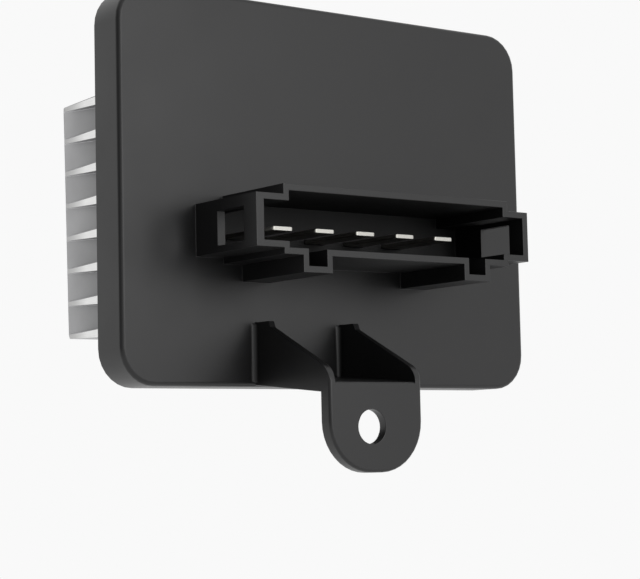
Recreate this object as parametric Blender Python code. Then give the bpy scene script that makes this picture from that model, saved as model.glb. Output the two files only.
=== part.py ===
"""Blower motor resistor: a moulded housing with a five-blade connector and a screw tab, closed behind by a
finned heat sink that cools three flat power resistors on a circuit board.

Blender 4.5, metres, +Z up. X runs along the plate and the connector opens towards -Y. The origin is the middle
of the skirt's bottom bar, on its back face, which seats on the air duct.
"""

import math

import bmesh
import bpy

MM = 0.001
GAP = 0.3 * MM  # between two pieces that touch

# Housing plate and the skirt round it
PLATE_WIDTH = 102.0 * MM
PLATE_HEIGHT = 77.6 * MM
PLATE_WALL = 2.4 * MM
CORNER_RADIUS = 7.4 * MM
EDGE_RADIUS = 0.9 * MM
SKIRT_DEPTH = 8.8 * MM
SKIRT_WALL = 2.0 * MM

# Connector shroud, a sleeve with a taller middle and two keyways under it
SHROUD_LEFT = 17.1 * MM  # from the plate's left edge
SHROUD_WIDTH = 68.4 * MM
SHROUD_DEPTH = 20.4 * MM
SHROUD_WALL = 1.3 * MM
SHROUD_LEFT_WALL = 1.8 * MM
SHROUD_RIGHT_WALL = 1.4 * MM
SHROUD_END_BOTTOM = 25.2 * MM  # from the plate's bottom edge
SHROUD_END_HEIGHT = 10.2 * MM
MIDDLE_INSET_LEFT = 6.3 * MM
MIDDLE_INSET_RIGHT = 5.5 * MM
MIDDLE_RISE = 2.0 * MM
MIDDLE_DROP = 1.2 * MM
KEY_WIDTH = 6.9 * MM
KEY_DROP = 3.3 * MM
KEY_LEFT = 14.2 * MM  # first key's centre from the shroud's left side
KEY_RIGHT = 14.1 * MM  # second key's centre from its right side
FLOOR_RECESS = 0.8 * MM
WINDOW_BACK = 7.4 * MM  # from the plate's front face
WINDOW_LENGTH = 8.8 * MM
WINDOW_HEIGHT = 6.7 * MM

# Blades
BLADES = 5
WAYS = 6  # the last one is empty
BLADE_WIDTH = 4.8 * MM
BLADE_THICKNESS = 0.8 * MM
BLADE_INSET = 4.4 * MM  # tips behind the shroud's mouth
FIRST_WAY = 9.2 * MM  # from the shroud's left side
LAST_WAY = 9.2 * MM  # from its right side
BLADE_HEIGHT = 4.2 * MM  # above the shroud's end bottom
BLADE_POINT = 0.4 * MM
SHOULDER_WIDTH = 6.4 * MM
TAIL_WIDTH = 2.0 * MM
TAIL_STAND = 1.0 * MM  # past the board's back face

# Bracket: two gussets, a sloping shelf and the screw tab
BRACKET_LEFT = 30.6 * MM  # from the plate's left edge
BRACKET_WIDTH = 22.3 * MM
BRACKET_REACH = 23.9 * MM  # from the plate's front face
BRACKET_WALL = 1.4 * MM
GUSSET_HEIGHT = 12.7 * MM
GUSSET_FLAT = 4.6 * MM
GUSSET_NOSE = 1.3 * MM
GUSSET_SLOPE = math.radians(26.0)
GUSSET_BEND = 4.2 * MM
GUSSET_FILLET = 1.0 * MM
SHELF_THICKNESS = 1.9 * MM
SHELF_DROP = 2.1 * MM
TAB_DROP = 17.2 * MM  # below the plate's bottom edge
TAB_DEPTH = 2.8 * MM
TAB_WEB = 2.0 * MM
TAB_CORNER = 9.8 * MM
TAB_EDGE_RADIUS = 0.6 * MM
HOLE_RADIUS = 3.3 * MM
HOLE_FROM_LEFT = 10.0 * MM
HOLE_DROP = 8.5 * MM

# Inside the housing
FRAME_INSET = 3.6 * MM
FRAME_WALL = 1.5 * MM
SEAL_THICKNESS = 0.5 * MM
BOSS_RADIUS = 3.0 * MM
BOARD_THICKNESS = 1.6 * MM
BOARD_MARGIN_SIDE = 11.0 * MM
BOARD_MARGIN_BOTTOM = 13.0 * MM
BOARD_HEIGHT = 49.0 * MM
BOARD_CORNER = 1.5 * MM
POST_HEIGHT = 0.8 * MM
POST_RADIUS = 2.6 * MM
BOARD_SCREW_INSET = 4.5 * MM
RESISTORS = 3
RESISTOR_DEPTH = 2.6 * MM
RESISTOR_HEIGHT = 18.0 * MM
RESISTOR_SPACING = 6.0 * MM
RESISTOR_CLEARANCE = 3.4 * MM  # from the board screws' heads
RESISTOR_LIFT = 26.5 * MM  # from the board's bottom edge
RESISTOR_LEAD = (1.4 * MM, 0.6 * MM, 3.4 * MM)
RESISTOR_LEAD_SPACING = 8.0 * MM
PAD_THICKNESS = 0.5 * MM
PAD_MARGIN = 1.5 * MM
PAD_CORNER = 1.0 * MM
FUSE_RADIUS = 1.5 * MM
FUSE_LENGTH = 9.0 * MM
FUSE_LEAD_RADIUS = 0.4 * MM
FUSE_LEAD_REACH = 3.5 * MM
FUSE_LIFT = 7.5 * MM  # from the board's bottom edge

# Heat sink
SINK_INSET = 3.4 * MM
SINK_BASE = 4.0 * MM
SINK_CORNER = 4.0 * MM
FINS = 8
FIN_PITCH = 6.57 * MM
FIRST_FIN = 11.1 * MM  # from the plate's bottom edge
FIN_INSET = 4.0 * MM  # the fin ends, from the plate's left and right edges
FIN_ROOT = 2.1 * MM
FIN_TIP = 1.0 * MM
FIN_REACH = 17.9 * MM  # past the skirt's back face, at the bottom fin
FIN_REACH_STEP = 0.17 * MM  # each fin stands out this much more than the one below
END_WALL = 1.5 * MM
END_WALL_SINK = (2.6 * MM, 0.1 * MM)  # inside the fins' ends, at their roots and at their tips
END_WALL_OVER = 0.3 * MM  # past the fins' tips

# Screws
SCREW_INSET_SIDE = 9.0 * MM
SCREW_INSET_ENDS = 7.0 * MM
SCREW_RADIUS = 1.4 * MM
SCREW_HEAD_RADIUS = 2.5 * MM
SCREW_HEAD = 1.9 * MM
SCREW_GRIP = 5.0 * MM  # length inside the boss
BOARD_SCREW_RADIUS = 1.0 * MM
BOARD_SCREW_HEAD_RADIUS = 2.1 * MM
BOARD_SCREW_HEAD = 1.4 * MM
RECESS_WIDTH = 0.7 * MM

# Places that follow from the sizes
LEFT = -PLATE_WIDTH / 2
BOTTOM = -SKIRT_WALL / 2
TOP = BOTTOM + PLATE_HEIGHT
RIGHT = LEFT + PLATE_WIDTH
FRONT = -SKIRT_DEPTH
INSIDE = FRONT + PLATE_WALL
SHROUD_X = LEFT + SHROUD_LEFT
MOUTH = FRONT - SHROUD_DEPTH
FLOOR = FRONT + FLOOR_RECESS
BLADE_Z = BOTTOM + SHROUD_END_BOTTOM + BLADE_HEIGHT
BOARD_FRONT = INSIDE + POST_HEIGHT + GAP
BOARD_BACK = BOARD_FRONT + BOARD_THICKNESS
RESISTOR_FRONT = BOARD_BACK + GAP
PAD_FRONT = RESISTOR_FRONT + RESISTOR_DEPTH + GAP
SINK_FRONT = PAD_FRONT + PAD_THICKNESS + GAP
SINK_BACK = SINK_FRONT + SINK_BASE
SEAL_FRONT = SINK_FRONT - GAP - SEAL_THICKNESS
FRAME_TOP = SEAL_FRONT - GAP
BRACKET_X = LEFT + BRACKET_LEFT
TAB_FRONT = FRONT - BRACKET_REACH


def clear_scene():
    for obj in list(bpy.data.objects):
        bpy.data.objects.remove(obj, do_unlink=True)


def material(name, colour, roughness, metallic=0.0):
    """A Principled material in a plain linear colour."""
    made = bpy.data.materials.new(name)
    made.use_nodes = True
    shader = made.node_tree.nodes["Principled BSDF"]
    shader.inputs["Base Color"].default_value = (*colour, 1.0)
    shader.inputs["Roughness"].default_value = roughness
    shader.inputs["Metallic"].default_value = metallic
    return made


def add_object(name, mesh_data, finish=None):
    """Turns a bmesh into an object with outward normals. Without a finish it is a helper for a Boolean."""
    bmesh.ops.recalc_face_normals(mesh_data, faces=mesh_data.faces)
    mesh = bpy.data.meshes.new(name)
    mesh_data.to_mesh(mesh)
    mesh_data.free()
    obj = bpy.data.objects.new(name, mesh)
    bpy.context.scene.collection.objects.link(obj)
    if finish is None:
        obj.hide_render = True
        obj.display_type = "WIRE"
    else:
        mesh.materials.append(finish)
    return obj


def boolean(obj, operation, *others):
    for other in others:
        modifier = obj.modifiers.new(f"{operation.title()} {other.name}", "BOOLEAN")
        modifier.operation = operation
        modifier.solver = "EXACT"
        modifier.object = other


def loft(name, rings, finish=None):
    """A closed solid through rings of the same number of points, capped at both ends."""
    mesh_data = bmesh.new()
    made = [[mesh_data.verts.new(point) for point in ring] for ring in rings]
    count = len(made[0])
    for near, far in zip(made, made[1:]):
        for i in range(count):
            j = (i + 1) % count
            mesh_data.faces.new((near[i], near[j], far[j], far[i]))
    mesh_data.faces.new(made[0])
    mesh_data.faces.new(made[-1])
    return add_object(name, mesh_data, finish)


def along_y(outline, y):
    return [(x, y, z) for x, z in outline]


def along_x(outline, x):
    return [(x, y, z) for y, z in outline]


def along_z(outline, z):
    return [(x, y, z) for x, y in outline]


def prism(name, outline, low, high, place=along_y, finish=None):
    return loft(name, [place(outline, low), place(outline, high)], finish)


def box(name, low, high, finish=None):
    outline = [(low[0], low[2]), (high[0], low[2]), (high[0], high[2]), (low[0], high[2])]
    return prism(name, outline, low[1], high[1], along_y, finish)


def arc(centre, radius, start, end, steps):
    """Points on an arc, both ends included, with the angles in degrees."""
    points = []
    for i in range(steps + 1):
        angle = math.radians(start + (end - start) * i / steps)
        points.append((centre[0] + radius * math.cos(angle), centre[1] + radius * math.sin(angle)))
    return points


def circle(centre, radius, steps=24):
    return arc(centre, radius, 0, 360, steps)[:-1]


def rounded_rectangle(left, bottom, right, top, radius, steps=7):
    corners = (
        (right - radius, bottom + radius, 270),
        (right - radius, top - radius, 0),
        (left + radius, top - radius, 90),
        (left + radius, bottom + radius, 180),
    )
    points = []
    for x, z, start in corners:
        points += arc((x, z), radius, start, start + 90, steps)
    return points


def plate_outline(inset, radius, steps=7):
    return rounded_rectangle(LEFT + inset, BOTTOM + inset, RIGHT - inset, TOP - inset, radius, steps)


def rounded_edge(radius, steps=4):
    """Pairs of inset and setback from a face, down a quarter round at its edge."""
    pairs = []
    for i in range(steps + 1):
        angle = math.radians(90 * i / steps)
        pairs.append((radius * (1 - math.sin(angle)), radius * (1 - math.cos(angle))))
    return pairs


def housing_tray(finish):
    """The plate with its rounded front edge, and the skirt behind it."""
    rings = []
    for inset, setback in rounded_edge(EDGE_RADIUS):
        rings.append(along_y(plate_outline(inset, CORNER_RADIUS - inset), FRONT + setback))
    rings.append(along_y(plate_outline(0, CORNER_RADIUS), 0))
    tray = loft("housing", rings, finish)
    hollow = prism("tray_hollow", plate_outline(SKIRT_WALL, CORNER_RADIUS - SKIRT_WALL), INSIDE, SKIRT_WALL)
    boolean(tray, "DIFFERENCE", hollow)
    return tray


def inner_frame():
    """The wall round the electronics, on which the seal and the heat sink lie."""
    outer = prism("frame_outer", plate_outline(FRAME_INSET, CORNER_RADIUS - FRAME_INSET), INSIDE - GAP, FRAME_TOP)
    inset = FRAME_INSET + FRAME_WALL
    inner = prism("frame_inner", plate_outline(inset, CORNER_RADIUS - inset), INSIDE - 2 * GAP, FRAME_TOP + GAP)
    boolean(outer, "DIFFERENCE", inner)
    return outer


def shroud_outline(left_wall, right_wall, wall):
    """The shroud's section, drawn in by its walls: 0 for the outside."""
    left = SHROUD_X + left_wall
    right = SHROUD_X + SHROUD_WIDTH - right_wall
    end_bottom = BOTTOM + SHROUD_END_BOTTOM + wall
    end_top = BOTTOM + SHROUD_END_BOTTOM + SHROUD_END_HEIGHT - wall
    middle_left = SHROUD_X + MIDDLE_INSET_LEFT + wall
    middle_right = SHROUD_X + SHROUD_WIDTH - MIDDLE_INSET_RIGHT - wall
    middle_bottom = end_bottom - MIDDLE_DROP
    middle_top = end_top + MIDDLE_RISE
    outline = [(left, end_bottom), (middle_left, end_bottom), (middle_left, middle_bottom)]
    for centre in (SHROUD_X + KEY_LEFT, SHROUD_X + SHROUD_WIDTH - KEY_RIGHT):
        key_left = centre - KEY_WIDTH / 2 + wall
        key_right = key_left + KEY_WIDTH - 2 * wall
        key_bottom = middle_bottom - KEY_DROP
        outline += [(key_left, middle_bottom), (key_left, key_bottom)]
        outline += [(key_right, key_bottom), (key_right, middle_bottom)]
    outline += [(middle_right, middle_bottom), (middle_right, end_bottom), (right, end_bottom)]
    outline += [(right, end_top), (middle_right, end_top), (middle_right, middle_top)]
    outline += [(middle_left, middle_top), (middle_left, end_top), (left, end_top)]
    return outline


def blade_x(i):
    pitch = (SHROUD_WIDTH - FIRST_WAY - LAST_WAY) / (WAYS - 1)
    return SHROUD_X + FIRST_WAY + i * pitch


def shroud():
    """The solid sleeve and what is cut from it: the cavity, the latch windows and the blade slots."""
    sleeve = prism("shroud_sleeve", shroud_outline(0, 0, 0), MOUTH, FRONT + PLATE_WALL / 2)
    cavity_outline = shroud_outline(SHROUD_LEFT_WALL, SHROUD_RIGHT_WALL, SHROUD_WALL)
    cuts = [prism("shroud_cavity", cavity_outline, MOUTH - GAP, FLOOR)]
    low_y = FRONT - WINDOW_BACK - WINDOW_LENGTH
    low_z = BOTTOM + SHROUD_END_BOTTOM + SHROUD_WALL
    for side, x in (("left", SHROUD_X), ("right", SHROUD_X + SHROUD_WIDTH)):
        low = (x - 2 * SHROUD_LEFT_WALL, low_y, low_z)
        high = (x + 2 * SHROUD_LEFT_WALL, low_y + WINDOW_LENGTH, low_z + WINDOW_HEIGHT)
        cuts.append(box(f"window_{side}", low, high))
    half = BLADE_WIDTH / 2 + GAP
    deep = BLADE_THICKNESS / 2 + GAP
    for i in range(BLADES):
        x = blade_x(i)
        cuts.append(box(f"slot_{i + 1}", (x - half, FRONT - GAP, BLADE_Z - deep), (x + half, 0, BLADE_Z + deep)))
    return sleeve, cuts


def tab_outline(inset, top):
    """The bracket seen from the front: straight sides and a broad round end."""
    left = BRACKET_X + inset
    right = BRACKET_X + BRACKET_WIDTH - inset
    low = BOTTOM - TAB_DROP + inset
    radius = min(TAB_CORNER, BRACKET_WIDTH / 2 - GAP) - inset
    points = [(right, top), (left, top)]
    points += arc((left + radius, low + radius), radius, 180, 270, 10)
    points += arc((right - radius, low + radius), radius, 270, 360, 10)
    return points


def bracket_side():
    """The bracket seen from the side, as (y, z): gusset, shelf and tab in one closed line."""
    top = BOTTOM + GUSSET_HEIGHT
    tab_back = TAB_FRONT + TAB_DEPTH
    nose_y = FRONT - GUSSET_FLAT - GUSSET_NOSE / 2
    nose_z = top - GUSSET_NOSE
    corner_z = nose_z - (nose_y - TAB_FRONT) * math.tan(GUSSET_SLOPE)
    turn = 90 - math.degrees(GUSSET_SLOPE)
    tangent = GUSSET_BEND * math.tan(math.radians(turn / 2))
    centre = (TAB_FRONT + GUSSET_BEND, corner_z - tangent)
    shelf_back = BOTTOM + 0.3 * MM
    outline = [(INSIDE - GAP, top), (FRONT - GUSSET_FLAT, top), (nose_y, nose_z)]
    outline += arc(centre, GUSSET_BEND, 180 - turn, 180, 6)
    outline += [(TAB_FRONT, BOTTOM - TAB_DROP - GAP), (tab_back, BOTTOM - TAB_DROP - GAP)]
    outline += [(tab_back, shelf_back - SHELF_DROP), (FRONT, shelf_back), (INSIDE - GAP, shelf_back)]
    return outline


def bracket():
    """The side outline drawn across, trimmed to the front outline, and hollowed between the gussets and behind the tab."""
    left = BRACKET_X
    right = BRACKET_X + BRACKET_WIDTH
    made = prism("bracket", bracket_side(), left - GAP, right + GAP, along_x)
    over = BOTTOM + GUSSET_HEIGHT + GAP
    rings = []
    for inset, setback in rounded_edge(TAB_EDGE_RADIUS):
        rings.append(along_y(tab_outline(inset, over), TAB_FRONT + setback))
    rings.append(along_y(tab_outline(0, over), 0))
    front_form = loft("bracket_front", rings)
    shelf_front = BOTTOM + 0.3 * MM - SHELF_DROP + SHELF_THICKNESS
    edge = TAB_EDGE_RADIUS
    trough = [(TAB_FRONT - GAP, shelf_front - edge)]
    trough += arc((TAB_FRONT + edge, shelf_front - edge), edge, 180, 90, 4)
    trough += [(FRONT, shelf_front + SHELF_DROP), (FRONT, over + GAP), (TAB_FRONT - GAP, over + GAP)]
    between = prism("between_gussets", trough, left + BRACKET_WALL, right - BRACKET_WALL, along_x)
    web_back = TAB_FRONT + TAB_WEB
    pocket_top = BOTTOM - SHELF_DROP - SHELF_THICKNESS
    pocket = prism("tab_pocket", tab_outline(BRACKET_WALL, pocket_top), web_back, TAB_FRONT + TAB_DEPTH + GAP)
    hole_at = (left + HOLE_FROM_LEFT, BOTTOM - HOLE_DROP)
    hole = prism("screw_hole", circle(hole_at, HOLE_RADIUS, 36), TAB_FRONT - GAP, web_back + GAP)
    boolean(made, "INTERSECT", front_form)
    boolean(made, "DIFFERENCE", between, pocket, hole)
    return made


def gusset_fillets():
    """The rounded roots where the gussets meet the plate, on both sides of each."""
    r = GUSSET_FILLET
    low = BOTTOM + EDGE_RADIUS
    high = BOTTOM + GUSSET_HEIGHT - GAP
    made = []
    left = BRACKET_X
    right = BRACKET_X + BRACKET_WIDTH
    faces = ((left, -1), (left + BRACKET_WALL, 1), (right - BRACKET_WALL, -1), (right, 1))
    for i, (x, side) in enumerate(faces):
        centre = (x + side * r, FRONT - r)
        start, end = (90, 180) if side > 0 else (90, 0)
        outline = [(x - side * BRACKET_WALL / 2, FRONT - r), (x - side * BRACKET_WALL / 2, FRONT + r)]
        outline += [(centre[0], FRONT + r)]
        outline += arc(centre, r, start, end, 5)
        made.append(prism(f"fillet_{i + 1}", outline, low, high, along_z))
    return made


def screw_places():
    return [
        (x, z)
        for z in (BOTTOM + SCREW_INSET_ENDS, TOP - SCREW_INSET_ENDS)
        for x in (LEFT + SCREW_INSET_SIDE, RIGHT - SCREW_INSET_SIDE)
    ]


def board_edges():
    low = BOTTOM + BOARD_MARGIN_BOTTOM
    return LEFT + BOARD_MARGIN_SIDE, low, RIGHT - BOARD_MARGIN_SIDE, low + BOARD_HEIGHT


def board_screw_places():
    left, low, right, high = board_edges()
    inset = BOARD_SCREW_INSET
    return [(x, z) for z in (low + inset, high - inset) for x in (left + inset, right - inset)]


def bosses():
    """Columns for the heat sink's screws and low posts for the board, with the holes bored in them."""
    columns = []
    bores = []
    for i, (x, z) in enumerate(screw_places()):
        columns.append(prism(f"boss_{i + 1}", circle((x, z), BOSS_RADIUS), INSIDE - GAP, FRAME_TOP))
        bore = circle((x, z), SCREW_RADIUS + GAP, 16)
        bores.append(prism(f"boss_bore_{i + 1}", bore, FRAME_TOP - SCREW_GRIP - GAP, FRAME_TOP + GAP))
    for i, (x, z) in enumerate(board_screw_places()):
        columns.append(prism(f"post_{i + 1}", circle((x, z), POST_RADIUS), INSIDE - GAP, BOARD_FRONT - GAP))
        bore = circle((x, z), BOARD_SCREW_RADIUS + GAP, 16)
        bores.append(prism(f"post_bore_{i + 1}", bore, FRONT + PLATE_WALL / 3, BOARD_FRONT))
    return columns, bores


def housing(finish):
    body = housing_tray(finish)
    sleeve, cuts = shroud()
    columns, bores = bosses()
    boolean(body, "UNION", inner_frame(), *columns, sleeve, bracket(), *gusset_fillets())
    boolean(body, "DIFFERENCE", *bores, *cuts)
    return body


def terminal(i, finish):
    """A flat blade with a pointed tip, shoulders behind the plate and a tail through the board."""
    x = blade_x(i)
    tip = MOUTH + BLADE_INSET
    shoulder_front = INSIDE + GAP / 2
    shoulder_back = BOARD_FRONT - GAP
    tail_end = BOARD_BACK + TAIL_STAND
    half = BLADE_WIDTH / 2
    side = [
        (half - BLADE_POINT / 2, tip),
        (half, tip + BLADE_POINT),
        (half, shoulder_front),
        (SHOULDER_WIDTH / 2, shoulder_front),
        (SHOULDER_WIDTH / 2, shoulder_back),
        (TAIL_WIDTH / 2, shoulder_back),
        (TAIL_WIDTH / 2, tail_end),
    ]
    outline = [(x + out, y) for out, y in side] + [(x - out, y) for out, y in reversed(side)]
    low = BLADE_Z - BLADE_THICKNESS / 2
    return prism(f"terminal_{i + 1}", outline, low, low + BLADE_THICKNESS, along_z, finish)


def fuse_place():
    left, low, right, high = board_edges()
    return (0.0, BOARD_BACK + GAP + FUSE_RADIUS, low + FUSE_LIFT)


def fuse_lead_offset():
    return FUSE_LENGTH / 2 + FUSE_LEAD_REACH - FUSE_LEAD_RADIUS


def circuit_board(finish):
    left, low, right, high = board_edges()
    outline = rounded_rectangle(left, low, right, high, BOARD_CORNER, 3)
    board = prism("circuit_board", outline, BOARD_FRONT, BOARD_BACK, along_y, finish)
    cuts = []
    for i, (x, z) in enumerate(board_screw_places()):
        hole = circle((x, z), BOARD_SCREW_RADIUS + GAP, 16)
        cuts.append(prism(f"board_hole_{i + 1}", hole, BOARD_FRONT - GAP, BOARD_BACK + GAP))
    half = TAIL_WIDTH / 2 + GAP
    deep = BLADE_THICKNESS / 2 + GAP
    for i in range(BLADES):
        x = blade_x(i)
        low_corner = (x - half, BOARD_FRONT - GAP, BLADE_Z - deep)
        cuts.append(box(f"tail_hole_{i + 1}", low_corner, (x + half, BOARD_BACK + GAP, BLADE_Z + deep)))
    x, y, z = fuse_place()
    for name, side in (("left", -1), ("right", 1)):
        hole = circle((x + side * fuse_lead_offset(), z), FUSE_LEAD_RADIUS + GAP, 12)
        cuts.append(prism(f"lead_hole_{name}", hole, BOARD_FRONT - GAP, BOARD_BACK + GAP))
    boolean(board, "DIFFERENCE", *cuts)
    return board


def resistor_pitch():
    """The packages share the board's width between the heads of its screws."""
    left, low, right, high = board_edges()
    side = BOARD_SCREW_INSET + BOARD_SCREW_HEAD_RADIUS + RESISTOR_CLEARANCE
    return (right - left - 2 * side + RESISTOR_SPACING) / RESISTORS


def resistor_x(i):
    return (i - (RESISTORS - 1) / 2) * resistor_pitch()


def resistor_bottom():
    return board_edges()[1] + RESISTOR_LIFT


def power_resistor(i, finish):
    """A flat package that lies between the board and the heat sink, with two leads bent down to the board."""
    half = (resistor_pitch() - RESISTOR_SPACING) / 2
    x = resistor_x(i)
    low = resistor_bottom()
    body = box(
        f"power_resistor_{i + 1}",
        (x - half, RESISTOR_FRONT, low),
        (x + half, RESISTOR_FRONT + RESISTOR_DEPTH, low + RESISTOR_HEIGHT),
        finish,
    )
    lead_width, lead_thickness, lead_reach = RESISTOR_LEAD
    exit_y = RESISTOR_FRONT + RESISTOR_DEPTH / 2
    foot = lead_reach * 0.45
    side = [
        (exit_y + lead_thickness / 2, low + GAP),
        (exit_y + lead_thickness / 2, low - lead_reach + foot),
        (RESISTOR_FRONT + lead_thickness, low - lead_reach + foot),
        (RESISTOR_FRONT + lead_thickness, low - lead_reach),
        (RESISTOR_FRONT, low - lead_reach),
        (RESISTOR_FRONT, low - lead_reach + foot + lead_thickness),
        (exit_y - lead_thickness / 2, low - lead_reach + foot + lead_thickness),
        (exit_y - lead_thickness / 2, low + GAP),
    ]
    for name, offset in (("left", -RESISTOR_LEAD_SPACING / 2), ("right", RESISTOR_LEAD_SPACING / 2)):
        at = x + offset
        lead = prism(f"resistor_{i + 1}_lead_{name}", side, at - lead_width / 2, at + lead_width / 2, along_x)
        boolean(body, "UNION", lead)
    return body


def thermal_pad(finish):
    """One soft sheet over the three resistors' backs."""
    reach = (resistor_pitch() - RESISTOR_SPACING) / 2 + PAD_MARGIN
    low = resistor_bottom() - PAD_MARGIN
    high = resistor_bottom() + RESISTOR_HEIGHT + PAD_MARGIN
    outline = rounded_rectangle(resistor_x(0) - reach, low, resistor_x(RESISTORS - 1) + reach, high, PAD_CORNER, 3)
    return prism("thermal_pad", outline, PAD_FRONT, PAD_FRONT + PAD_THICKNESS, along_y, finish)


def thermal_fuse(finish):
    """A small cylinder with stepped ends, and a wire at each end bent into the board."""
    x, y, z = fuse_place()
    profile = [
        (-FUSE_LENGTH / 2 - FUSE_RADIUS * 0.6, FUSE_RADIUS * 0.45),
        (-FUSE_LENGTH / 2, FUSE_RADIUS * 0.75),
        (-FUSE_LENGTH / 2 + FUSE_RADIUS * 0.3, FUSE_RADIUS),
        (FUSE_LENGTH / 2 - FUSE_RADIUS * 0.3, FUSE_RADIUS),
        (FUSE_LENGTH / 2, FUSE_RADIUS * 0.75),
        (FUSE_LENGTH / 2 + FUSE_RADIUS * 0.6, FUSE_RADIUS * 0.45),
    ]
    rings = [along_x(circle((y, z), radius, 16), x + at) for at, radius in profile]
    body = loft("thermal_fuse", rings, finish)
    for name, side in (("left", -1), ("right", 1)):
        inner = x + side * FUSE_LENGTH / 2
        outer = x + side * (fuse_lead_offset() + FUSE_LEAD_RADIUS)
        wire = prism(f"fuse_wire_{name}", circle((y, z), FUSE_LEAD_RADIUS, 8), min(inner, outer), max(inner, outer), along_x)
        foot_at = (x + side * fuse_lead_offset(), z)
        foot = prism(f"fuse_foot_{name}", circle(foot_at, FUSE_LEAD_RADIUS * 0.9, 8), BOARD_FRONT + GAP, y)
        boolean(body, "UNION", wire, foot)
    return body


def heat_seal(finish):
    """A flat ring on the inner frame, under the heat sink's rim."""
    inset = FRAME_INSET + FRAME_WALL
    back = SEAL_FRONT + SEAL_THICKNESS
    ring = prism("heat_sink_seal", plate_outline(FRAME_INSET, CORNER_RADIUS - FRAME_INSET), SEAL_FRONT, back, along_y, finish)
    hole = prism("seal_hole", plate_outline(inset, CORNER_RADIUS - inset), SEAL_FRONT - GAP, back + GAP)
    boolean(ring, "DIFFERENCE", hole)
    return ring


def fin_z(i):
    return BOTTOM + FIRST_FIN + i * FIN_PITCH


def fin_tip_y(i):
    return FIN_REACH + i * FIN_REACH_STEP


def end_wall(name, end_x, inward):
    """A thin wall that ties the fins at one end. It leans out, from deep between their roots to flush at their tips."""
    rings = []
    for i in (0, FINS - 1):
        tip = fin_tip_y(i) + END_WALL_OVER
        at_root = end_x + inward * END_WALL_SINK[0]
        at_tip = end_x + inward * END_WALL_SINK[1]
        across = inward * END_WALL
        outline = [(at_root, SINK_BACK - GAP), (at_tip, tip), (at_tip + across, tip), (at_root + across, SINK_BACK - GAP)]
        rings.append(along_z(outline, fin_z(i)))
    return loft(name, rings)


def heat_sink(finish):
    """A cast base with drafted fins, tied at both ends by a leaning wall."""
    base = prism("heat_sink", plate_outline(SINK_INSET, SINK_CORNER), SINK_FRONT, SINK_BACK, along_y, finish)
    left = LEFT + FIN_INSET
    right = RIGHT - FIN_INSET
    root = SINK_BACK - GAP
    added = []
    for i in range(FINS):
        z = fin_z(i)
        tip = fin_tip_y(i)
        side = [(root, z - FIN_ROOT / 2), (root, z + FIN_ROOT / 2), (tip, z + FIN_TIP / 2), (tip, z - FIN_TIP / 2)]
        added.append(prism(f"fin_{i + 1}", side, left, right, along_x))
    added.append(end_wall("end_wall_left", left, 1))
    added.append(end_wall("end_wall_right", right, -1))
    boolean(base, "UNION", *added)
    for i, place in enumerate(screw_places()):
        hole = prism(f"sink_hole_{i + 1}", circle(place, SCREW_RADIUS + GAP, 16), SINK_FRONT - GAP, SINK_BACK + GAP)
        boolean(base, "DIFFERENCE", hole)
    return base


def screw(name, place, seat, tip, shank, head_radius, head_height, finish):
    """A pan-head screw driven towards -Y, with a cross recess in its head. seat is the face under the head."""
    y0 = seat + GAP
    profile = [
        (tip, shank * 0.6),
        (tip + shank, shank),
        (y0, shank),
        (y0, head_radius),
        (y0 + head_height * 0.55, head_radius),
        (y0 + head_height * 0.88, head_radius * 0.8),
        (y0 + head_height, head_radius * 0.5),
    ]
    rings = [along_y(circle(place, radius, 20), y) for y, radius in profile]
    body = loft(name, rings, finish)
    x, z = place
    long = head_radius * 0.6
    short = RECESS_WIDTH / 2
    floor = y0 + head_height * 0.35
    over = y0 + head_height + GAP
    across = box(f"{name}_recess_x", (x - long, floor, z - short), (x + long, over, z + short))
    upright = box(f"{name}_recess_z", (x - short, floor, z - long), (x + short, over, z + long))
    boolean(body, "DIFFERENCE", across, upright)
    return body


def build():
    clear_scene()
    black_plastic = material("black_plastic", (0.05, 0.05, 0.05), 0.55)
    tin = material("tin_plated_brass", (0.72, 0.71, 0.68), 0.3, 1.0)
    aluminium = material("cast_aluminium", (0.62, 0.63, 0.64), 0.5, 1.0)
    laminate = material("board_laminate", (0.02, 0.13, 0.06), 0.5)
    ceramic = material("resistor_ceramic", (0.75, 0.74, 0.7), 0.6)
    silicone = material("thermal_silicone", (0.45, 0.5, 0.55), 0.8)
    fuse_metal = material("fuse_case", (0.6, 0.55, 0.4), 0.35, 1.0)
    zinc = material("zinc_plated_steel", (0.6, 0.61, 0.62), 0.35, 1.0)
    rubber = material("seal_rubber", (0.02, 0.02, 0.02), 0.8)
    housing(black_plastic)
    for i in range(BLADES):
        terminal(i, tin)
    circuit_board(laminate)
    for i in range(RESISTORS):
        power_resistor(i, ceramic)
    thermal_pad(silicone)
    thermal_fuse(fuse_metal)
    heat_seal(rubber)
    heat_sink(aluminium)
    for i, place in enumerate(screw_places()):
        tip = FRAME_TOP - SCREW_GRIP
        screw(f"heat_sink_screw_{i + 1}", place, SINK_BACK, tip, SCREW_RADIUS, SCREW_HEAD_RADIUS, SCREW_HEAD, zinc)
    for i, place in enumerate(board_screw_places()):
        tip = FRONT + PLATE_WALL / 3 + GAP
        radius = BOARD_SCREW_RADIUS
        screw(f"board_screw_{i + 1}", place, BOARD_BACK, tip, radius, BOARD_SCREW_HEAD_RADIUS, BOARD_SCREW_HEAD, zinc)


build()
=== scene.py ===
"""The looks of the blower motor resistor: rounded edges, finishes, camera, studio and light.

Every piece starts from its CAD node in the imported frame. All lengths are in metres.
"""

import math

import bmesh
import bpy
from mathutils import Matrix, Vector


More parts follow.
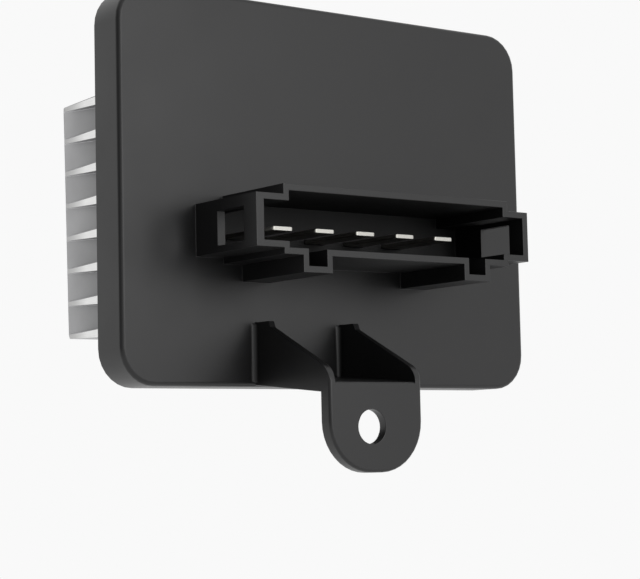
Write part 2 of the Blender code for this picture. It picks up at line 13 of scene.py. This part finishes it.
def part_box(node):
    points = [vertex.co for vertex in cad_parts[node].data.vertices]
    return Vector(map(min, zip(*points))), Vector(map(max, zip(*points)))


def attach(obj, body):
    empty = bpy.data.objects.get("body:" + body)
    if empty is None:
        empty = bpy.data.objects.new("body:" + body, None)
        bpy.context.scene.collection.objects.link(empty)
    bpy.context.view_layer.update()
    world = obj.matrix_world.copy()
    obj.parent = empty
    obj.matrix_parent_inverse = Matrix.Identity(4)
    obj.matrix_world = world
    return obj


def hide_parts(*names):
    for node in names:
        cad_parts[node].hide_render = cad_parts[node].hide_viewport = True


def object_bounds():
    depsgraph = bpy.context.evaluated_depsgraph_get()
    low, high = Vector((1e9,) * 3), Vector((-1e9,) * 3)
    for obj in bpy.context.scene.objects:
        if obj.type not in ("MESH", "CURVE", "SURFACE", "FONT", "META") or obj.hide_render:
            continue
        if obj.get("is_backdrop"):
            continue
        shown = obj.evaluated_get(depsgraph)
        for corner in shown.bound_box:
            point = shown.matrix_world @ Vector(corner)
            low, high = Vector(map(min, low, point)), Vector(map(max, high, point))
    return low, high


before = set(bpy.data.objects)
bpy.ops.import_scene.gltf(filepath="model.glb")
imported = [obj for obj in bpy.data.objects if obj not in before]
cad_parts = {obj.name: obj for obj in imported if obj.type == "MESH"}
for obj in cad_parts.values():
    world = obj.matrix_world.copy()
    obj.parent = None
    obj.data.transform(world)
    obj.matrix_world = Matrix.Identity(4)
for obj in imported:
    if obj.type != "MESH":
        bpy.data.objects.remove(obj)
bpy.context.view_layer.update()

MM = 0.001

# Camera, fitted to the photograph's plate edges, connector corners, blade tips and tab
CAMERA_PLACE = (-0.24487, -0.32804, -0.01642)
CAMERA_YAW = 37.02  # degrees, turned right from straight along +Y
CAMERA_PITCH = 5.036  # degrees, looking up
CAMERA_ROLL = -1.256  # degrees
CAMERA_LENS = 111.6  # mm
CAMERA_SENSOR = 36.0  # mm wide
CAMERA_NEAREST = 0.01  # nothing nearer is drawn

# Studio
FLOOR_Z = -0.15
FLOOR_RADIUS = 1.2
FLOOR_FADE = (0.06, 0.34)  # distances from its middle, plain floor to white background
BACKGROUND = "#f9f9f9"
STUDIO_LEVEL = 0.7  # the tent's soft light, where 1 is the white that is seen
OPENING_AZIMUTH = -82.0  # degrees, the tent's open side, to the left
OPENING_LEVEL = 0.25  # what is left of the light on that side
OPENING_ANGLES = (18.0, 63.0)  # degrees from its middle, darkest to full light

# The connector's inside, as the CAD has it
CONNECTOR_FLOOR = -8.0 * MM
CONNECTOR_RIM = -29.0 * MM  # just behind its mouth
CONNECTOR_SIDES = (-32.1 * MM, 33.1 * MM)
SLOT_EDGE = 0.1 * MM  # this far behind it, the slots' rounded edges belong to the floor
BLADE_POINT = 2.0 * MM  # takes in a blade's point and the start of its full width
BLADE_GAP = 0.31 * MM  # around a blade in its slot
BLADE_FIT = 0.04 * MM  # what is left of it in the visual model

# Meshes and textures
WELD_DISTANCE = 0.0002 * MM  # joins the corners of the CAD's triangles
SAME_PLANE = 0.01 * MM  # two faces no further apart than this lie in one plane
SQUARE_ON = 0.99  # a face is square to an axis when its normal has this much along it
FLAT_ANGLE = math.radians(0.05)  # faces that turn less than this are one flat face
SHARP_ANGLE = math.radians(32.0)  # sharper edges are rounded, and softer ones are shaded smooth
WAVE_BAND = math.pi / 10  # spacing of a wave texture's bands at a scale of 1


def linear(hex_colour):
    """An sRGB hex colour as linear RGBA."""
    channels = []
    for start in (1, 3, 5):
        value = int(hex_colour[start : start + 2], 16) / 255
        channels.append(value / 12.92 if value <= 0.04045 else ((value + 0.055) / 1.055) ** 2.4)
    return (*channels, 1.0)


def add_node(tree, kind, settings=None, values=None, links=None):
    """A new node, with its settings, the values of its inputs and the links into them."""
    node = tree.nodes.new(kind)
    for name, value in (settings or {}).items():
        setattr(node, name, value)
    for name, value in (values or {}).items():
        node.inputs[name].default_value = value
    for name, source in (links or {}).items():
        tree.links.new(source, node.inputs[name])
    return node


def new_material(name):
    """An empty material, with its node tree."""
    made = bpy.data.materials.new(name)
    made.use_nodes = True
    made.node_tree.nodes.clear()
    return made, made.node_tree


def set_ramp(node, stops):
    """Gives a colour ramp its stops, as (place, sRGB hex colour)."""
    elements = node.color_ramp.elements
    while len(elements) > len(stops):
        elements.remove(elements[-1])
    while len(elements) < len(stops):
        elements.new(1.0)
    for element, (place, colour) in zip(elements, stops):
        element.position = place
        element.color = linear(colour)


def moulded_black_nylon(name, dark, light, gloss, shine):
    """Injection-moulded black nylon with glass fibre: a satin skin over a fine spark-eroded grain.

    The eye sees a near-black body with a broad soft sheen and faint cloudy flow marks. Gloss is the
    roughness of the smoothest and the roughest flow marks, and shine is the strength of the sheen.
    """
    grain = 0.35 * MM  # real grain is near 0.1 mm, drawn coarser so that it shows
    clouds = 14.0 * MM
    made, tree = new_material(name)
    place = add_node(tree, "ShaderNodeTexCoord")
    spot = place.outputs["Object"]
    flow = add_node(
        tree,
        "ShaderNodeTexNoise",
        values={"Scale": 1 / clouds, "Detail": 3.0, "Roughness": 0.55},
        links={"Vector": spot},
    )
    body = add_node(tree, "ShaderNodeValToRGB", links={"Fac": flow.outputs["Fac"]})
    set_ramp(body, ((0.3, dark), (0.7, light)))
    sheen_level = add_node(
        tree,
        "ShaderNodeMapRange",
        values={"From Min": 0.3, "From Max": 0.7, "To Min": gloss[0], "To Max": gloss[1]},
        links={"Value": flow.outputs["Fac"]},
    )
    pits = add_node(
        tree,
        "ShaderNodeTexNoise",
        values={"Scale": 1 / grain, "Detail": 2.0, "Roughness": 0.6},
        links={"Vector": spot},
    )
    skin = add_node(
        tree,
        "ShaderNodeBump",
        values={"Strength": 0.18, "Distance": 0.02 * MM},
        links={"Height": pits.outputs["Fac"]},
    )
    shader = add_node(
        tree,
        "ShaderNodeBsdfPrincipled",
        values={"IOR": 1.53, "Specular IOR Level": shine},
        links={
            "Base Color": body.outputs["Color"],
            "Roughness": sheen_level.outputs["Result"],
            "Normal": skin.outputs["Normal"],
        },
    )
    add_node(tree, "ShaderNodeOutputMaterial", links={"Surface": shader.outputs["BSDF"]})
    return made


def tin_plated_brass():
    """Stamped brass strip, bright tin plated: pale silver with fine rolling lines along the blade."""
    line_pitch = 0.12 * MM  # real rolling lines are several times finer, drawn coarser so that they show
    line_length = 6.0 * MM
    made, tree = new_material("tin_plated_brass")
    place = add_node(tree, "ShaderNodeTexCoord")
    stretch = add_node(
        tree,
        "ShaderNodeMapping",
        values={"Scale": (1 / line_pitch, 1 / line_length, 1 / line_pitch)},
        links={"Vector": place.outputs["Object"]},
    )
    lines = add_node(
        tree,
        "ShaderNodeTexNoise",
        values={"Scale": 1.0, "Detail": 2.0},
        links={"Vector": stretch.outputs["Vector"]},
    )
    plate = add_node(tree, "ShaderNodeValToRGB", links={"Fac": lines.outputs["Fac"]})
    set_ramp(plate, ((0.25, "#aeaca6"), (0.75, "#c2c1bc")))
    gloss = add_node(
        tree,
        "ShaderNodeMapRange",
        values={"From Min": 0.3, "From Max": 0.7, "To Min": 0.36, "To Max": 0.42},
        links={"Value": lines.outputs["Fac"]},
    )
    rolled = add_node(
        tree,
        "ShaderNodeBump",
        values={"Strength": 0.07, "Distance": 0.01 * MM},
        links={"Height": lines.outputs["Fac"]},
    )
    shader = add_node(
        tree,
        "ShaderNodeBsdfPrincipled",
        values={"Metallic": 1.0},
        links={
            "Base Color": plate.outputs["Color"],
            "Roughness": gloss.outputs["Result"],
            "Normal": rolled.outputs["Normal"],
        },
    )
    add_node(tree, "ShaderNodeOutputMaterial", links={"Surface": shader.outputs["BSDF"]})
    return made


def cast_aluminium(root, tip):
    """Die-cast aluminium: a dull grey skin with a fine sand-like grain and broad blotches.

    It is drawn darker from the fins' tips to their roots: painted shade, for the shadow deep between the
    fins near the plate.
    """
    grain = 0.5 * MM  # real grain is finer, drawn coarser so that it shows
    blotch = 9.0 * MM
    made, tree = new_material("cast_aluminium")
    place = add_node(tree, "ShaderNodeTexCoord")
    spot = place.outputs["Object"]
    sand = add_node(
        tree,
        "ShaderNodeTexNoise",
        values={"Scale": 1 / grain, "Detail": 3.0, "Roughness": 0.6},
        links={"Vector": spot},
    )
    cast = add_node(
        tree,
        "ShaderNodeTexNoise",
        values={"Scale": 1 / blotch, "Detail": 4.0},
        links={"Vector": spot},
    )
    skin = add_node(tree, "ShaderNodeValToRGB", links={"Fac": cast.outputs["Fac"]})
    set_ramp(skin, ((0.3, "#c4c4c5"), (0.7, "#d1d1d2")))
    split = add_node(tree, "ShaderNodeSeparateXYZ", links={"Vector": spot})
    along_fin = add_node(
        tree,
        "ShaderNodeMapRange",
        values={"From Min": root, "From Max": tip},
        links={"Value": split.outputs["Y"]},
    )
    # painted shade: the skin is drawn darker towards the fins' roots, where shadow falls between the fins
    # near the plate
    painted_root_shade = add_node(tree, "ShaderNodeValToRGB", links={"Fac": along_fin.outputs["Result"]})
    set_ramp(painted_root_shade, ((0.0, "#969696"), (1.0, "#ffffff")))
    colour_along_fin = add_node(
        tree,
        "ShaderNodeMix",
        {"data_type": "RGBA", "blend_type": "MULTIPLY"},
        {"Factor": 1.0},
        {"A": skin.outputs["Color"], "B": painted_root_shade.outputs["Color"]},
    )
    rough = add_node(
        tree,
        "ShaderNodeBump",
        values={"Strength": 0.35, "Distance": 0.05 * MM},
        links={"Height": sand.outputs["Fac"]},
    )
    shader = add_node(
        tree,
        "ShaderNodeBsdfPrincipled",
        values={"Metallic": 1.0, "Roughness": 0.52},
        links={"Base Color": colour_along_fin.outputs["Result"], "Normal": rough.outputs["Normal"]},
    )
    add_node(tree, "ShaderNodeOutputMaterial", links={"Surface": shader.outputs["BSDF"]})
    return made


def cut_aluminium(root, tip):
    """Aluminium cut across the fins' ends: brighter than the cast skin, with fine lines from the cutter.

    The brightness is lost towards the fins' tips, where the cast skin was left.
    """
    cut_line = 0.25 * MM  # a usual feed of a milling cutter for each turn
    cut_length = 4.0 * MM
    made, tree = new_material("cut_aluminium")
    place = add_node(tree, "ShaderNodeTexCoord")
    stretch = add_node(
        tree,
        "ShaderNodeMapping",
        values={"Scale": (1 / cut_line, 1 / cut_length, 1 / cut_line)},
        links={"Vector": place.outputs["Object"]},
    )
    lines = add_node(
        tree,
        "ShaderNodeTexNoise",
        values={"Scale": 1.0, "Detail": 2.0},
        links={"Vector": stretch.outputs["Vector"]},
    )
    bright = add_node(tree, "ShaderNodeValToRGB", links={"Fac": lines.outputs["Fac"]})
    set_ramp(bright, ((0.25, "#ececeb"), (0.75, "#f6f6f5")))
    split = add_node(tree, "ShaderNodeSeparateXYZ", links={"Vector": place.outputs["Object"]})
    along_fin = add_node(
        tree,
        "ShaderNodeMapRange",
        values={"From Min": root, "From Max": tip},
        links={"Value": split.outputs["Y"]},
    )
    dull = add_node(tree, "ShaderNodeValToRGB", links={"Fac": along_fin.outputs["Result"]})
    set_ramp(dull, ((0.55, "#ffffff"), (0.8, "#d2d2d2"), (1.0, "#bdbdbd")))
    colour_along_fin = add_node(
        tree,
        "ShaderNodeMix",
        {"data_type": "RGBA", "blend_type": "MULTIPLY"},
        {"Factor": 1.0},
        {"A": bright.outputs["Color"], "B": dull.outputs["Color"]},
    )
    shader = add_node(
        tree,
        "ShaderNodeBsdfPrincipled",
        values={"Metallic": 1.0, "Roughness": 0.34},
        links={"Base Color": colour_along_fin.outputs["Result"]},
    )
    add_node(tree, "ShaderNodeOutputMaterial", links={"Surface": shader.outputs["BSDF"]})
    return made


def zinc_plated_steel():
    """Cold-headed steel screw, zinc plated: cool grey with a faint mottled passivate."""
    mottle = 0.8 * MM
    made, tree = new_material("zinc_plated_steel")
    place = add_node(tree, "ShaderNodeTexCoord")
    spots = add_node(
        tree,
        "ShaderNodeTexNoise",
        values={"Scale": 1 / mottle, "Detail": 4.0},
        links={"Vector": place.outputs["Object"]},
    )
    coat = add_node(tree, "ShaderNodeValToRGB", links={"Fac": spots.outputs["Fac"]})
    set_ramp(coat, ((0.3, "#b3b7bb"), (0.7, "#d2d4d4")))
    gloss = add_node(
        tree,
        "ShaderNodeMapRange",
        values={"From Min": 0.3, "From Max": 0.7, "To Min": 0.25, "To Max": 0.42},
        links={"Value": spots.outputs["Fac"]},
    )
    shader = add_node(
        tree,
        "ShaderNodeBsdfPrincipled",
        values={"Metallic": 1.0},
        links={"Base Color": coat.outputs["Color"], "Roughness": gloss.outputs["Result"]},
    )
    add_node(tree, "ShaderNodeOutputMaterial", links={"Surface": shader.outputs["BSDF"]})
    return made


def solder_masked_laminate():
    """Glass-fibre laminate under green solder mask: a glossy coat, the weave just showing through."""
    weave = 0.6 * MM  # from thread to thread
    made, tree = new_material("solder_masked_laminate")
    place = add_node(tree, "ShaderNodeTexCoord")
    spot = place.outputs["Object"]
    warp = add_node(
        tree,
        "ShaderNodeTexWave",
        {"bands_direction": "X"},
        {"Scale": WAVE_BAND / weave, "Distortion": 0.3},
        {"Vector": spot},
    )
    weft = add_node(
        tree,
        "ShaderNodeTexWave",
        {"bands_direction": "Z"},
        {"Scale": WAVE_BAND / weave, "Distortion": 0.3},
        {"Vector": spot},
    )
    cloth = add_node(
        tree,
        "ShaderNodeMath",
        {"operation": "MULTIPLY"},
        links={0: warp.outputs["Fac"], 1: weft.outputs["Fac"]},
    )
    mask = add_node(tree, "ShaderNodeValToRGB", links={"Fac": cloth.outputs["Value"]})
    set_ramp(mask, ((0.0, "#1d5a36"), (1.0, "#27693f")))
    shader = add_node(
        tree,
        "ShaderNodeBsdfPrincipled",
        values={"IOR": 1.5, "Roughness": 0.28},
        links={"Base Color": mask.outputs["Color"]},
    )
    add_node(tree, "ShaderNodeOutputMaterial", links={"Surface": shader.outputs["BSDF"]})
    return made


def fired_alumina():
    """Fired alumina ceramic: chalky white with a fine pore."""
    pore = 0.3 * MM  # real pores are finer, drawn coarser so that they show
    made, tree = new_material("fired_alumina")
    place = add_node(tree, "ShaderNodeTexCoord")
    pores = add_node(
        tree,
        "ShaderNodeTexNoise",
        values={"Scale": 1 / pore, "Detail": 3.0},
        links={"Vector": place.outputs["Object"]},
    )
    clay = add_node(tree, "ShaderNodeValToRGB", links={"Fac": pores.outputs["Fac"]})
    set_ramp(clay, ((0.3, "#d9d6cd"), (0.7, "#e8e6df")))
    pitted = add_node(
        tree,
        "ShaderNodeBump",
        values={"Strength": 0.3, "Distance": 0.03 * MM},
        links={"Height": pores.outputs["Fac"]},
    )
    shader = add_node(
        tree,
        "ShaderNodeBsdfPrincipled",
        values={"IOR": 1.76, "Roughness": 0.6},
        links={"Base Color": clay.outputs["Color"], "Normal": pitted.outputs["Normal"]},
    )
    add_node(tree, "ShaderNodeOutputMaterial", links={"Surface": shader.outputs["BSDF"]})
    return made


def soft_elastomer(name, dark, light, roughness, texture_size):
    """Cast or cut elastomer: matt, with a slight mottle and a dusty surface."""
    made, tree = new_material(name)
    place = add_node(tree, "ShaderNodeTexCoord")
    dust = add_node(
        tree,
        "ShaderNodeTexNoise",
        values={"Scale": 1 / texture_size, "Detail": 4.0},
        links={"Vector": place.outputs["Object"]},
    )
    rubber = add_node(tree, "ShaderNodeValToRGB", links={"Fac": dust.outputs["Fac"]})
    set_ramp(rubber, ((0.3, dark), (0.7, light)))
    matt = add_node(
        tree,
        "ShaderNodeBump",
        values={"Strength": 0.25, "Distance": 0.03 * MM},
        links={"Height": dust.outputs["Fac"]},
    )
    shader = add_node(
        tree,
        "ShaderNodeBsdfPrincipled",
        values={"IOR": 1.43, "Roughness": roughness},
        links={"Base Color": rubber.outputs["Color"], "Normal": matt.outputs["Normal"]},
    )
    add_node(tree, "ShaderNodeOutputMaterial", links={"Surface": shader.outputs["BSDF"]})
    return made


def drawn_fuse_case():
    """Drawn brass case of the fuse: warm metal with fine turned rings round it."""
    ring = 0.2 * MM  # from ring to ring
    made, tree = new_material("drawn_fuse_case")
    place = add_node(tree, "ShaderNodeTexCoord")
    rings = add_node(
        tree,
        "ShaderNodeTexWave",
        {"bands_direction": "X"},
        {"Scale": WAVE_BAND / ring, "Distortion": 0.5},
        {"Vector": place.outputs["Object"]},
    )
    case = add_node(tree, "ShaderNodeValToRGB", links={"Fac": rings.outputs["Fac"]})
    set_ramp(case, ((0.0, "#c2b083"), (1.0, "#d3c59c")))
    shader = add_node(
        tree,
        "ShaderNodeBsdfPrincipled",
        values={"Metallic": 1.0, "Roughness": 0.33},
        links={"Base Color": case.outputs["Color"]},
    )
    add_node(tree, "ShaderNodeOutputMaterial", links={"Surface": shader.outputs["BSDF"]})
    return made


def flat_areas(mesh_data):
    """For each face, the area of the flat region that it belongs to."""
    areas = [0.0] * len(mesh_data.faces)
    reached = set()
    for start in mesh_data.faces:
        if start in reached:
            continue
        reached.add(start)
        region = [start]
        for face in region:
            for edge in face.edges:
                for other in edge.link_faces:
                    if other not in reached and other.normal.angle(start.normal, math.pi) < FLAT_ANGLE:
                        reached.add(other)
                        region.append(other)
        whole = sum(face.calc_area() for face in region)
        for face in region:
            areas[face.index] = whole
    return areas


def settle_normals(mesh):
    """Shades the mesh smooth across soft edges, and keeps flat faces flat however they are cut up."""
    mesh_data = bmesh.new()
    mesh_data.from_mesh(mesh)
    mesh_data.faces.ensure_lookup_table()
    areas = flat_areas(mesh_data)
    corner = {}
    # Round each corner point, the faces that soft edges join share one normal, weighed by their flat areas
    for vert in mesh_data.verts:
        waiting = list(vert.link_faces)
        while waiting:
            fan = [waiting.pop()]
            for face in fan:
                for edge in face.edges:
                    if vert not in edge.verts or edge.calc_face_angle(math.pi) > SHARP_ANGLE:
                        continue
                    for other in edge.link_faces:
                        if other in waiting:
                            waiting.remove(other)
                            fan.append(other)
            whole = Vector()
            for face in fan:
                whole += face.normal * areas[face.index]
            for face in fan:
                corner[face.index, vert.index] = whole.normalized()
    mesh_data.free()
    for polygon in mesh.polygons:
        polygon.use_smooth = True
    normals = []
    for polygon in mesh.polygons:
        for vertex in polygon.vertices:
            normals.append(corner[polygon.index, vertex])
    mesh.normals_split_custom_set(normals)


def keep_inside(mesh, low, high):
    """Draws back the few rounded corners that stand out of the node's own box."""
    for vertex in mesh.vertices:
        vertex.co = [min(max(place, least), most) for place, least, most in zip(vertex.co, low, high)]


def close_blade_slots(mesh):
    """Draws the blades' slots in to the blades, which are pressed in, so that no dark gap shows."""
    for node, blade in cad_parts.items():
        if not node.startswith("terminal"):
            continue
        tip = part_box(node)[0].y
        front = [vertex.co for vertex in blade.data.vertices if vertex.co.y < tip + BLADE_POINT]
        low_x = min(point.x for point in front)
        high_x = max(point.x for point in front)
        low_z = min(point.z for point in front)
        high_z = max(point.z for point in front)
        for vertex in mesh.vertices:
            place = vertex.co
            through = CONNECTOR_FLOOR - SAME_PLANE < place.y < SAME_PLANE
            beside = low_x - BLADE_GAP < place.x < high_x + BLADE_GAP
            if through and beside and low_z - BLADE_GAP < place.z < high_z + BLADE_GAP:
                place.x = low_x - BLADE_FIT if place.x < low_x else high_x + BLADE_FIT
                place.z = low_z - BLADE_FIT if place.z < low_z else high_z + BLADE_FIT


def rounded_piece(node, edge_radius, *finishes):
    """A copy of a CAD node with its edges rounded, which stands for the node."""
    mesh_data = bmesh.new()
    mesh_data.from_mesh(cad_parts[node].data)
    bmesh.ops.remove_doubles(mesh_data, verts=mesh_data.verts, dist=WELD_DISTANCE)
    mesh = bpy.data.meshes.new(node)
    mesh_data.to_mesh(mesh)
    mesh_data.free()
    if node == "housing":
        close_blade_slots(mesh)
    piece = bpy.data.objects.new(f"{node}_finished", mesh)
    bpy.context.scene.collection.objects.link(piece)
    if edge_radius:
        rounding = piece.modifiers.new("Rounded edges", "BEVEL")
        rounding.width = edge_radius
        rounding.segments = 2
        rounding.limit_method = "ANGLE"
        rounding.angle_limit = SHARP_ANGLE
        rounding.use_clamp_overlap = False
        bpy.context.view_layer.update()
        graph = bpy.context.evaluated_depsgraph_get()
        piece.data = bpy.data.meshes.new_from_object(piece.evaluated_get(graph))
        piece.modifiers.clear()
        bpy.data.meshes.remove(mesh)
        keep_inside(piece.data, *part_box(node))
    for finish in finishes:
        piece.data.materials.append(finish)
    settle_normals(piece.data)
    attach(piece, "root")
    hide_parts(node)
    return piece


def roughen_and_shade_connector(piece):
    """Gives the connector's inside the second material, rougher and with painted shade, from its floor out
    to the rim and the windows.
    """
    mesh_data = bmesh.new()
    mesh_data.from_mesh(piece.data)
    left = CONNECTOR_SIDES[0] - SAME_PLANE
    right = CONNECTOR_SIDES[1] + SAME_PLANE
    inside = []
    for face in mesh_data.faces:
        middle = face.calc_center_median()
        on_floor = abs(middle.y - CONNECTOR_FLOOR) < SAME_PLANE and face.normal.y < -SQUARE_ON
        if on_floor and left < middle.x < right:
            inside.append(face)
    reached = set(inside)
    for face in inside:
        face.material_index = 1
        for edge in face.edges:
            for other in edge.link_faces:
                middle = other.calc_center_median()
                between = CONNECTOR_RIM < middle.y < CONNECTOR_FLOOR + SLOT_EDGE
                if other not in reached and between and left < middle.x < right:
                    inside.append(other)
                    reached.add(other)
    mesh_data.to_mesh(piece.data)
    mesh_data.free()


def cut_fin_ends(piece):
    """Gives the fins' ends the second finish, cut metal, and keeps the rounded tips between them."""
    low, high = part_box("heat_sink")
    middle = (low.y + high.y) / 2
    cast_points = [vertex.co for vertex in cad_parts["heat_sink"].data.vertices]
    end = max(point.x for point in cast_points if point.y > middle)
    for vertex in piece.data.vertices:
        if vertex.co.y > middle:
            vertex.co.x = min(max(vertex.co.x, -end), end)
    for polygon in piece.data.polygons:
        if abs(abs(polygon.center.x) - end) < SAME_PLANE and abs(polygon.normal.x) > SQUARE_ON:
            polygon.material_index = 1


def dress_pieces():
    """Gives every family of nodes its edge radius and its finishes."""
    nylon = moulded_black_nylon(
        "moulded_black_nylon", dark="#101011", light="#141415", gloss=(0.36, 0.42), shine=0.47
    )
    # painted shade: the connector's inside is drawn darker and with less sheen than the outside, where
    # shade falls in the cavity; its rougher grain is real
    cavity_nylon_painted_shade = moulded_black_nylon(
        "spark_eroded_nylon_painted_shade", dark="#0a0a0b", light="#0d0d0e", gloss=(0.54, 0.6), shine=0.34
    )
    silicone = soft_elastomer(
        "thermal_silicone", dark="#9aa3ab", light="#aab2b8", roughness=0.75, texture_size=0.5 * MM
    )
    rubber = soft_elastomer(
        "seal_rubber", dark="#1c1c1c", light="#272727", roughness=0.85, texture_size=0.4 * MM
    )
    zinc = zinc_plated_steel()
    sink_low, sink_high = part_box("heat_sink")
    cast = cast_aluminium(root=sink_low.y, tip=sink_high.y)
    cut = cut_aluminium(root=sink_low.y, tip=sink_high.y)
    looks = {
        "housing": (0.15 * MM, nylon, cavity_nylon_painted_shade),
        "terminal": (0.2 * MM, tin_plated_brass()),
        "circuit_board": (0.0, solder_masked_laminate()),
        "power_resistor": (0.15 * MM, fired_alumina()),
        "thermal_pad": (0.0, silicone),
        "thermal_fuse": (0.0, drawn_fuse_case()),
        "heat_sink_seal": (0.1 * MM, rubber),
        "heat_sink": (0.25 * MM, cast, cut),
        "heat_sink_screw": (0.12 * MM, zinc),
        "board_screw": (0.12 * MM, zinc),
    }
    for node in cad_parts:
        family = node.rstrip("0123456789").rstrip("_")
        piece = rounded_piece(node, *looks[family])
        if node == "heat_sink":
            cut_fin_ends(piece)
        if node == "housing":
            roughen_and_shade_connector(piece)


def place_camera():
    """The camera at the photograph's place and angle."""
    yaw = math.radians(CAMERA_YAW)
    pitch = math.radians(CAMERA_PITCH)
    ahead = Vector((math.sin(yaw) * math.cos(pitch), math.cos(yaw) * math.cos(pitch), math.sin(pitch)))
    level = Vector((math.cos(yaw), -math.sin(yaw), 0.0))
    right = Matrix.Rotation(-math.radians(CAMERA_ROLL), 3, ahead) @ level
    up = right.cross(ahead)
    data = bpy.data.cameras.new("camera")
    data.lens = CAMERA_LENS
    data.sensor_width = CAMERA_SENSOR
    data.clip_start = CAMERA_NEAREST
    camera = bpy.data.objects.new("camera", data)
    bpy.context.scene.collection.objects.link(camera)
    turned = Matrix((right, up, -ahead)).transposed().to_4x4()
    camera.matrix_world = Matrix.Translation(CAMERA_PLACE) @ turned
    bpy.context.scene.camera = camera


def studio_world():
    """A white tent that is dimmer on its open side.

    It is plain white where it is seen, white but for the open side where it is mirrored, and lights the
    rest at the studio's level.
    """
    world = bpy.data.worlds.new("studio")
    bpy.context.scene.world = world
    world.use_nodes = True
    tree = world.node_tree
    tree.nodes.clear()
    turn = math.radians(OPENING_AZIMUTH)
    opening = (math.sin(turn), -math.cos(turn), 0.0)
    place = add_node(tree, "ShaderNodeTexCoord")
    facing = add_node(
        tree,
        "ShaderNodeVectorMath",
        {"operation": "DOT_PRODUCT"},
        {1: opening},
        {0: place.outputs["Generated"]},
    )
    share = add_node(
        tree,
        "ShaderNodeMapRange",
        values={
            "From Min": math.cos(math.radians(OPENING_ANGLES[1])),
            "From Max": math.cos(math.radians(OPENING_ANGLES[0])),
            "To Min": 1.0,
            "To Max": OPENING_LEVEL,
        },
        links={"Value": facing.outputs["Value"]},
    )
    path = add_node(tree, "ShaderNodeLightPath")
    level = add_node(
        tree,
        "ShaderNodeMapRange",
        values={"To Min": STUDIO_LEVEL, "To Max": 1.0},
        links={"Value": path.outputs["Is Glossy Ray"]},
    )
    tent = add_node(
        tree,
        "ShaderNodeMath",
        {"operation": "MULTIPLY"},
        links={0: share.outputs["Result"], 1: level.outputs["Result"]},
    )
    straight = add_node(
        tree,
        "ShaderNodeMath",
        {"operation": "MAXIMUM"},
        links={0: path.outputs["Is Camera Ray"], 1: path.outputs["Is Transmission Ray"]},
    )
    strength = add_node(
        tree,
        "ShaderNodeMath",
        {"operation": "MAXIMUM"},
        links={0: straight.outputs["Value"], 1: tent.outputs["Value"]},
    )
    white = add_node(
        tree,
        "ShaderNodeBackground",
        values={"Color": linear(BACKGROUND)},
        links={"Strength": strength.outputs["Value"]},
    )
    add_node(tree, "ShaderNodeOutputWorld", links={"Surface": white.outputs["Background"]})


def floor_paper():
    """Pale matt paper, which fades into the white background with distance.

    What mirrors it shows that background. It throws less light back than paper so pale would, so that
    the part's underside stays dark.
    """
    made, tree = new_material("floor_paper")
    place = add_node(tree, "ShaderNodeTexCoord")
    far = add_node(
        tree,
        "ShaderNodeVectorMath",
        {"operation": "LENGTH"},
        links={0: place.outputs["Object"]},
    )
    fade = add_node(
        tree,
        "ShaderNodeMapRange",
        {"interpolation_type": "SMOOTHSTEP"},
        {"From Min": FLOOR_FADE[0], "From Max": FLOOR_FADE[1]},
        {"Value": far.outputs["Value"]},
    )
    path = add_node(tree, "ShaderNodeLightPath")
    mirrored = add_node(
        tree,
        "ShaderNodeMath",
        {"operation": "MAXIMUM"},
        links={0: path.outputs["Is Glossy Ray"], 1: path.outputs["Is Transmission Ray"]},
    )
    faded = add_node(
        tree,
        "ShaderNodeMath",
        {"operation": "MULTIPLY"},
        links={0: fade.outputs["Result"], 1: path.outputs["Is Camera Ray"]},
    )
    seen = add_node(
        tree,
        "ShaderNodeMath",
        {"operation": "MAXIMUM"},
        links={0: faded.outputs["Value"], 1: mirrored.outputs["Value"]},
    )
    tone = add_node(
        tree,
        "ShaderNodeMix",
        {"data_type": "RGBA"},
        {"A": linear("#7a7a79"), "B": linear("#f4f4f3")},
        {"Factor": path.outputs["Is Camera Ray"]},
    )
    paper = add_node(tree, "ShaderNodeBsdfDiffuse", links={"Color": tone.outputs["Result"]})
    white = add_node(tree, "ShaderNodeEmission", values={"Color": linear(BACKGROUND), "Strength": 1.0})
    mixed = add_node(
        tree,
        "ShaderNodeMixShader",
        links={0: seen.outputs["Value"], 1: paper.outputs["BSDF"], 2: white.outputs["Emission"]},
    )
    add_node(tree, "ShaderNodeOutputMaterial", links={"Surface": mixed.outputs["Shader"]})
    return made


def add_floor():
    """A round floor below the part."""
    mesh_data = bmesh.new()
    bmesh.ops.create_circle(mesh_data, cap_ends=True, radius=FLOOR_RADIUS, segments=96)
    mesh = bpy.data.meshes.new("floor")
    mesh_data.to_mesh(mesh)
    mesh_data.free()
    mesh.materials.append(floor_paper())
    floor = bpy.data.objects.new("floor", mesh)
    floor.location = (0.0, 0.0, FLOOR_Z)
    bpy.context.scene.collection.objects.link(floor)
    floor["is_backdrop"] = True


def softbox(name, azimuth, elevation, distance, width, height, power):
    """A flat lamp that faces the object. Azimuth 0 is in front of the connector and 90 to its right."""
    low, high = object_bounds()
    centre = (low + high) / 2
    turn = math.radians(azimuth)
    lift = math.radians(elevation)
    away = Vector((math.sin(turn) * math.cos(lift), -math.cos(turn) * math.cos(lift), math.sin(lift)))
    data = bpy.data.lights.new(name, "AREA")
    data.shape = "RECTANGLE"
    data.size = width
    data.size_y = height
    data.energy = power
    lamp = bpy.data.objects.new(name, data)
    lamp.location = centre + distance * away
    lamp.rotation_mode = "QUATERNION"
    lamp.rotation_quaternion = away.to_track_quat("Z", "Y")
    bpy.context.scene.collection.objects.link(lamp)


dress_pieces()
place_camera()
studio_world()
add_floor()
softbox("key_front", azimuth=11.0, elevation=10.0, distance=0.9, width=0.6, height=0.4, power=1.8)
bpy.context.scene.view_settings.view_transform = "Standard"
